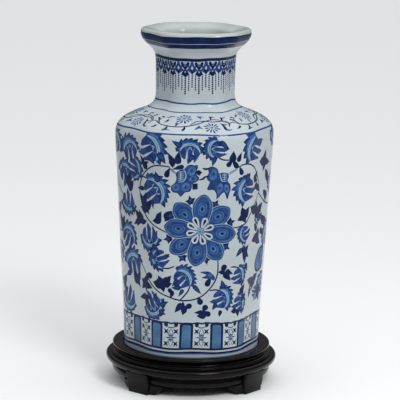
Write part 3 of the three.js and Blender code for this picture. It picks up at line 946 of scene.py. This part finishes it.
def vase_skin():
    """The skin, zone by zone from the underside up, over the lip and down the inside."""
    skin = Skin()
    foot_in = float(ALONG[int(np.argmax(OUTLINE[:, 0] > 54.5))])
    foot_out = along(FOOT_Z + 1.9)
    crest = float(ALONG[CREST])
    end = float(ALONG[-1])

    def at(s):
        return SHEET_BASE + s

    def bands(*zones):
        for low, high, rows, paint in zones:
            skin.band(low, high, rows, paint)

    # the underside is glazed inside the bare foot ring, and lines run round above it
    bands((0.4, foot_in, 4, GROUND), (foot_in, foot_out, 9, BISCUIT), (foot_out, at(7.0), 2, GROUND),
          (at(7.0), at(8.2), 1, MIDDLE), (at(8.2), at(9.8), 1, NAVY), (at(9.8), at(11.5), 1, GROUND),
          (at(11.5), at(BORDER_START), 1, NAVY))
    skin.tiles(at(BORDER_START), at(PANEL_LOW), BORDER_REPEATS, BORDER_PITCH, border_art(), 3.2)
    panel = Art()
    panel.merge(panel_art(), up=-PANEL_LOW)
    skin.tiles(at(PANEL_LOW), at(PANEL_HIGH), 2, BODY_GIRTH / 2, panel, 4.4)
    bands((at(PANEL_HIGH), at(SHOULDER_LOW), 1, DEEP))
    skin.tiles(at(SHOULDER_LOW), at(SHOULDER_HIGH), 1, SHOULDER_GIRTH, shoulder_art(), 2.8)
    bands((at(SHOULDER_HIGH), at(264.3), 1, DEEP), (at(264.3), at(273.2), 5, GROUND),
          (at(273.2), at(274.7), 1, DEEP), (at(274.7), at(NECK_START), 1, GROUND))
    skin.tiles(at(NECK_START), at(NECK_HIGH), NECK_REPEATS, NECK_PITCH, neck_art(), 3.0)
    # a dark line over the swags, the two bands of the rim, and the plain inside
    bands((at(NECK_HIGH), at(NECK_HIGH + 3.2), 2, NAVY),
          (at(NECK_HIGH + 3.2), along(340.8), 6, GROUND), (along(340.8), along(345.3), 3, NAVY),
          (along(345.3), along(345.8), 1, FAINT), (along(345.8), along(352.6), 5, NAVY),
          (along(352.6), crest, 4, INSIDE), (crest, crest + 24, 16, INSIDE),
          (crest + 24, end - 0.4, 22, INSIDE))
    close_end(skin, 0.0, 0.4, GROUND)
    close_end(skin, end, end - 0.4, INSIDE)
    return skin


def make_vase():
    """The vase in one piece, in place of the plain CAD body."""
    vase = build_mesh(vase_skin(), "vase", make_paints())
    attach(vase, "vase")
    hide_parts("vase_body")


# ---- the stand -----------------------------------------------------------------------

FOOT_ANGLES = {"front_left": 225, "front_right": 315, "back_right": 45, "back_left": 135}
TURNED_SEGMENTS = 180


def lacquer():
    """Hardwood under a nearly black lacquer, with a faint grain."""
    material, tree, shader = new_material("lacquered_wood_dark")
    grain = noise_node(tree, 40, 5, (1, 1, 9))
    tone = ramp_node(tree, grain, [(0.3, (0.0016, 0.0011, 0.001)), (0.7, (0.0045, 0.0028, 0.0024))])
    tree.links.new(tone, shader.inputs["Base Color"])
    rough_between(tree, shader, noise_node(tree, 90, 4), 0.11, 0.21, 0.75)
    shader.inputs["Specular IOR Level"].default_value = 0.16
    bump_node(tree, shader, noise_node(tree, 160, 4, (1, 1, 6)), 0.0004, 0.25)
    return material


def bare_wood():
    """The plain wood of the hidden dowels."""
    material, tree, shader = new_material("bare_wood_dowel")
    grain = noise_node(tree, 220, 5, (1, 1, 0.1))
    tone = ramp_node(tree, grain, [(0.3, (0.30, 0.18, 0.09)), (0.7, (0.52, 0.35, 0.19))])
    tree.links.new(tone, shader.inputs["Base Color"])
    shader.inputs["Roughness"].default_value = 0.8
    bump_node(tree, shader, grain, 0.0003, 0.4)
    return material


def eased(profile, radius=0.35, steps=3):
    """Rounds the corners of a closed profile."""
    out = []
    count = len(profile)
    for i, corner in enumerate(profile):
        here = np.array(corner, float)
        before = np.array(profile[i - 1], float)
        after = np.array(profile[(i + 1) % count], float)
        into, away = before - here, after - here
        reach = min(radius, 0.4 * np.linalg.norm(into), 0.4 * np.linalg.norm(away))
        a = here + into / np.linalg.norm(into) * reach
        b = here + away / np.linalg.norm(away) * reach
        for t in np.linspace(0, 1, steps + 1):
            out.append((1 - t) ** 2 * a + 2 * t * (1 - t) * here + t ** 2 * b)
    return out


def turned_mesh(profile):
    """A closed ring turned from a profile of (radius, height), in a bmesh."""
    bm = bmesh.new()
    rings = []
    for i in range(TURNED_SEGMENTS):
        angle = 2 * math.pi * i / TURNED_SEGMENTS
        c, s = math.cos(angle), math.sin(angle)
        rings.append([bm.verts.new((r * c * MM, r * s * MM, z * MM)) for r, z in profile])
    for ring, following in zip(rings, rings[1:] + rings[:1]):
        for j in range(len(profile)):
            k = (j + 1) % len(profile)
            if profile[j][0] + profile[k][0] > 0:
                bm.faces.new((ring[j], following[j], following[k], ring[k]))
    bmesh.ops.remove_doubles(bm, verts=bm.verts, dist=1e-6)
    bmesh.ops.recalc_face_normals(bm, faces=bm.faces)
    return bm


def finish_piece(bm, name, node, wood, smooth_angle=35):
    """Makes a piece of the stand from a bmesh, in place of the node's plain mesh."""
    mesh = bpy.data.meshes.new(name)
    bm.to_mesh(mesh)
    bm.free()
    mesh.materials.append(wood)
    thing = bpy.data.objects.new(name, mesh)
    bpy.context.collection.objects.link(thing)
    mesh.shade_smooth()
    mesh.set_sharp_from_angle(angle=math.radians(smooth_angle))
    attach(thing, "stand")
    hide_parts(node)


def arc(centre, radius, start, end, steps):
    """Points of an arc, angles in degrees."""
    angles = np.radians(np.linspace(start, end, steps + 1))
    return [(centre[0] + radius * math.cos(a), centre[1] + radius * math.sin(a)) for a in angles]


def base_profile():
    """Apron, groove and torus of the base ring, from its lower inner edge round.

    Where two parts join, the eased corner at the end of each is left off."""
    apron = [(56, 10.4), (77.4, 10.4), (78.9, 11.4), (79.5, 13.2), (79.4, 15.4), (78.6, 17.4),
             (77.9, 18.4), (78.3, 19.3), (79.8, 19.8)]
    return (
        eased(apron, 0.8)[4:-4]
        + arc((80.2, 25.4), 5.6, -75, 0, 14)
        + arc((82.6, 25.4), 3.2, 8, 90, 10)
        + eased([(80, 28.6), (56, 28.6), (56, 10.4)], 0.4)[4:]
    )


def softened_foot(corner, wood):
    """A bracket foot with the corners of its faces eased over, as a carver leaves them."""
    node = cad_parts["foot_" + corner]
    bm = bmesh.new()
    bm.from_mesh(node.data)
    bmesh.ops.transform(bm, matrix=node.matrix_world, verts=bm.verts)
    bmesh.ops.remove_doubles(bm, verts=bm.verts, dist=1e-5)
    bmesh.ops.dissolve_limit(bm, angle_limit=math.radians(2), verts=bm.verts, edges=bm.edges)
    facing = Vector((math.cos(math.radians(FOOT_ANGLES[corner])),
                     math.sin(math.radians(FOOT_ANGLES[corner])), 0))
    # the hole for the dowel, deep in the middle, keeps its sharp edges
    edges = []
    for edge in bm.edges:
        middle = (edge.verts[0].co + edge.verts[1].co) / 2
        outward = middle.dot(facing)
        aside = (middle - facing * outward).xy.length
        if outward > 77 * MM or aside > 6 * MM:
            if edge.is_manifold and edge.calc_face_angle() > math.radians(38):
                edges.append(edge)
    bmesh.ops.bevel(bm, geom=edges, offset=1.1 * MM, offset_type="OFFSET", segments=3,
                    profile=0.5, affect="EDGES", clamp_overlap=True)
    finish_piece(bm, "foot_" + corner + "_carved", "foot_" + corner, wood, 50)


def make_stand():
    """The turned rings, the seat, the carved feet, and the dowels' material."""
    wood = lacquer()
    rim = [(68.6, 33.3), (74.8, 33.3), (75.2, 35), (76.8, 36.2), (79.1, 36.9),
           (79.1, 38.3), (78.2, 39.2), (68.6, 39.2)]
    waist = [(68.6, 28.9), (80.4, 28.9), (80.4, 30), (78.4, 30.3), (78.4, 31.3),
             (75.6, 31.7), (74.8, 33), (68.6, 33)]
    finish_piece(turned_mesh(eased(rim)), "rim_ring", "stand_rim_ring", wood)
    finish_piece(turned_mesh(eased(waist, 0.25)), "waist_ring", "stand_waist_ring", wood)
    finish_piece(turned_mesh(base_profile()), "base_ring", "stand_base_ring", wood)
    seat = eased([(0, 28.9), (68.3, 28.9), (68.3, 33.4), (0, 33.4)], 0.4)[4:-4]
    disc = turned_mesh([(0, 28.9), *seat, (0, 33.4)])
    finish_piece(disc, "seat_disc", "stand_seat_disc", wood)
    for corner in FOOT_ANGLES:
        softened_foot(corner, wood)
    pale = bare_wood()
    for corner in FOOT_ANGLES:
        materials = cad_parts["foot_dowel_" + corner].data.materials
        materials.clear()
        materials.append(pale)


# ---- the room ------------------------------------------------------------------------


def area_light(name, place, target, size, power, colour):
    """A square light that faces its target."""
    data = bpy.data.lights.new(name, "AREA")
    data.shape = "SQUARE"
    data.size = size
    data.energy = power
    data.color = colour
    light = bpy.data.objects.new(name, data)
    light.location = place
    aim = Vector(target) - Vector(place)
    light.rotation_euler = aim.to_track_quat("-Z", "Y").to_euler()
    bpy.context.collection.objects.link(light)


def ranged(tree, value, zero, one):
    """0 where the value is at the first number, 1 where it reaches the second."""
    span = tree.nodes.new("ShaderNodeMapRange")
    span.interpolation_type = "SMOOTHSTEP"
    span.inputs["From Min"].default_value = zero
    span.inputs["From Max"].default_value = one
    tree.links.new(value, span.inputs["Value"])
    return span.outputs["Result"]


def maths(tree, operation, first, second=None):
    """Output of a Math node, whose inputs are numbers or other outputs."""
    node = tree.nodes.new("ShaderNodeMath")
    node.operation = operation
    for value, socket in ((first, node.inputs[0]), (second, node.inputs[1])):
        if isinstance(value, (int, float)):
            socket.default_value = value
        elif value is not None:
            tree.links.new(value, socket)
    return node.outputs[0]


WEDGE_LEAN = 0.092  # how far the wedge's middle moves sideways for each metre back
WEDGE_GROWTH = 0.16  # how far each of its sides spreads for each metre back


def make_floor():
    """A pale sheet with painted light: palest in a wedge behind the object that widens with the
    distance, a painted pool of light, and greyer in front and out at the sides as painted shade.
    """
    bm = bmesh.new()
    bmesh.ops.create_grid(bm, x_segments=2, y_segments=2, size=6)
    mesh = bpy.data.meshes.new("floor")
    bm.to_mesh(mesh)
    bm.free()
    material, tree, shader = new_material("floor_paper_painted_light")
    coords = tree.nodes.new("ShaderNodeTexCoord")
    split = tree.nodes.new("ShaderNodeSeparateXYZ")
    tree.links.new(coords.outputs["Object"], split.inputs["Vector"])
    lean = maths(tree, "MULTIPLY", split.outputs["Y"], WEDGE_LEAN)
    across = maths(tree, "ABSOLUTE", maths(tree, "SUBTRACT", split.outputs["X"], lean))
    behind = maths(tree, "MULTIPLY", maths(tree, "MAXIMUM", split.outputs["Y"], 0), WEDGE_GROWTH)
    # painted light: the floor's colour is greyer in front of the object and towards the sides as
    # painted shade, and palest in the wedge behind it as a painted pool of light
    near = ranged(tree, split.outputs["Y"], -0.3, -0.11)
    side = ranged(tree, maths(tree, "SUBTRACT", across, behind), 0.55, 0.24)
    painted_light_share = maths(tree, "MULTIPLY", near, side)
    tone = ramp_node(tree, painted_light_share, [(0, (0.56, 0.56, 0.565)), (1, (0.93, 0.935, 0.94))])
    tree.links.new(tone, shader.inputs["Base Color"])
    shader.inputs["Roughness"].default_value = 0.8
    shader.inputs["Specular IOR Level"].default_value = 0.2
    bump_node(tree, shader, noise_node(tree, 40), 0.0005, 0.1)
    mesh.materials.append(material)
    floor = bpy.data.objects.new("floor", mesh)
    bpy.context.collection.objects.link(floor)


def make_lights():
    """A soft light from the upper right, under a sky that is brightest overhead."""
    area_light("key", (0.42, -1.0, 1.15), (0, 0, 0.25), 0.46, 9.4, (1, 0.99, 0.97))
    world = bpy.data.worlds.new("room")
    world.use_nodes = True
    tree = world.node_tree
    coords = tree.nodes.new("ShaderNodeTexCoord")
    split = tree.nodes.new("ShaderNodeSeparateXYZ")
    tree.links.new(coords.outputs["Generated"], split.inputs["Vector"])
    sky = ramp_node(
        tree,
        split.outputs["Z"],
        [(0.0, (0.03, 0.032, 0.034)), (0.3, (0.1, 0.104, 0.108)), (0.65, (0.5, 0.515, 0.53)),
         (1.0, (1, 1, 1))],
    )
    background = tree.nodes["Background"]
    tree.links.new(sky, background.inputs["Color"])
    background.inputs["Strength"].default_value = 1.45
    bpy.context.scene.world = world


def make_camera():
    """Placed as the viewer stood: a little left of the vase's front and above its mouth."""
    data = bpy.data.cameras.new("camera")
    data.sensor_width = 36
    data.lens = 196.4
    data.shift_x = 0.0164
    data.shift_y = 0.0027
    camera = bpy.data.objects.new("camera", data)
    azimuth = math.radians(-5.24)
    reach = 2.1375
    place = Vector((reach * math.sin(azimuth), -reach * math.cos(azimuth), 0.6098))
    camera.location = place
    aim = (Vector((0, 0, 0.182)) - place).to_track_quat("-Z", "Y")
    camera.rotation_mode = "QUATERNION"
    camera.rotation_quaternion = aim @ Quaternion((0, 0, 1), 0.0165)
    bpy.context.collection.objects.link(camera)
    bpy.context.scene.camera = camera


bpy.context.scene.view_settings.view_transform = "Standard"
make_vase()
make_stand()
make_floor()
make_lights()
make_camera()
